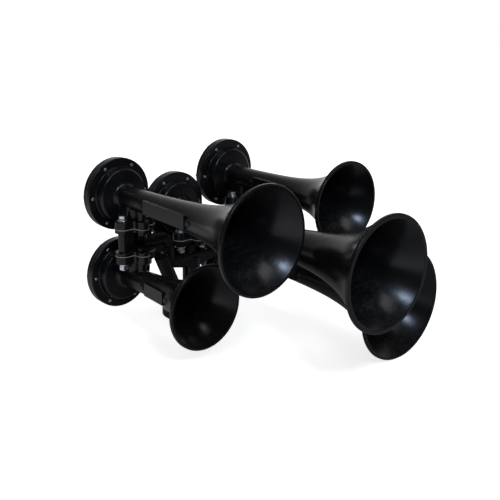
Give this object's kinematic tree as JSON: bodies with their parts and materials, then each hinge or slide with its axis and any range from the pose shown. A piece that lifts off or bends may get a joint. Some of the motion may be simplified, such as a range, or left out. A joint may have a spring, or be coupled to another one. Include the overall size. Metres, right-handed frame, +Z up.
{
  "type": "train air horn",
  "caption": "Train air horn: flared bells of different lengths bolted by their feet to a cast manifold on a round base, with a diaphragm that lifts inside each round rear chamber.",
  "frame": {"origin": "centre of the base disc's underside, where the air pipe comes in", "axes": "+Z up; the bells point along -Y; +X to the right when the chambers are looked at from behind the mouths' side, that is from -Y, with the tallest bells' row along X"},
  "size_m": [0.453, 0.551, 0.3417],
  "materials": {
    "black_paint": "satin black enamel on cast aluminium",
    "black_screws": "satin black on steel",
    "black_rubber": "matte",
    "tan_fibre": "matte compressed fibre sheet",
    "zinc_plate": "zinc-plated steel",
    "plain_steel": "plain steel",
    "spring_steel": "smooth spring-steel sheet",
    "nozzle_brass": "turned brass"
  },
  "bodies": {
    "horn": {"manifold": "black_paint", "front_screws": "black_screws", "bell_upper_left": "black_paint", "back_cap_upper_left": "black_paint", "cap_gasket_upper_left": "black_rubber", "clamp_ring_upper_left": "plain_steel", "nozzle_upper_left": "nozzle_brass", "cap_screws_upper_left": "plain_steel", "foot_gasket_upper_left": "tan_fibre", "bell_lower_left": "black_paint", "back_cap_lower_left": "black_paint", "cap_gasket_lower_left": "black_rubber", "clamp_ring_lower_left": "plain_steel", "nozzle_lower_left": "nozzle_brass", "cap_screws_lower_left": "plain_steel", "foot_gasket_lower_left": "tan_fibre", "bell_upper_right": "black_paint", "back_cap_upper_right": "black_paint", "cap_gasket_upper_right": "black_rubber", "clamp_ring_upper_right": "plain_steel", "nozzle_upper_right": "nozzle_brass", "cap_screws_upper_right": "plain_steel", "foot_gasket_upper_right": "tan_fibre", "bell_middle": "black_paint", "back_cap_middle": "black_paint", "cap_gasket_middle": "black_rubber", "clamp_ring_middle": "plain_steel", "nozzle_middle": "nozzle_brass", "cap_screws_middle": "plain_steel", "foot_gasket_middle": "tan_fibre", "bell_lower_right": "black_paint", "back_cap_lower_right": "black_paint", "cap_gasket_lower_right": "black_rubber", "clamp_ring_lower_right": "plain_steel", "nozzle_lower_right": "nozzle_brass", "cap_screws_lower_right": "plain_steel", "foot_gasket_lower_right": "tan_fibre", "foot_bolts_left": "zinc_plate", "foot_bolts_right": "zinc_plate", "foot_bolts_middle": "zinc_plate", "foot_washers": "zinc_plate", "foot_lock_washers": "zinc_plate", "foot_nuts": "zinc_plate"},
    "disc_upper_left": {"diaphragm_upper_left": "spring_steel"},
    "disc_lower_left": {"diaphragm_lower_left": "spring_steel"},
    "disc_upper_right": {"diaphragm_upper_right": "spring_steel"},
    "disc_middle": {"diaphragm_middle": "spring_steel"},
    "disc_lower_right": {"diaphragm_lower_right": "spring_steel"}
  },
  "joints": [
    {"name": "lift_upper_left", "type": "slide", "parent": "horn", "child": "disc_upper_left", "axis": [0, 1, 0], "range_m": [0, 0.0004], "stiffness_N_per_m": 2000},
    {"name": "lift_lower_left", "type": "slide", "parent": "horn", "child": "disc_lower_left", "axis": [0, 1, 0], "range_m": [0, 0.0004], "stiffness_N_per_m": 2000},
    {"name": "lift_upper_right", "type": "slide", "parent": "horn", "child": "disc_upper_right", "axis": [0, 1, 0], "range_m": [0, 0.0004], "stiffness_N_per_m": 2000},
    {"name": "lift_middle", "type": "slide", "parent": "horn", "child": "disc_middle", "axis": [0, 1, 0], "range_m": [0, 0.0004], "stiffness_N_per_m": 2000},
    {"name": "lift_lower_right", "type": "slide", "parent": "horn", "child": "disc_lower_right", "axis": [0, 1, 0], "range_m": [0, 0.0004], "stiffness_N_per_m": 2000}
  ]
}
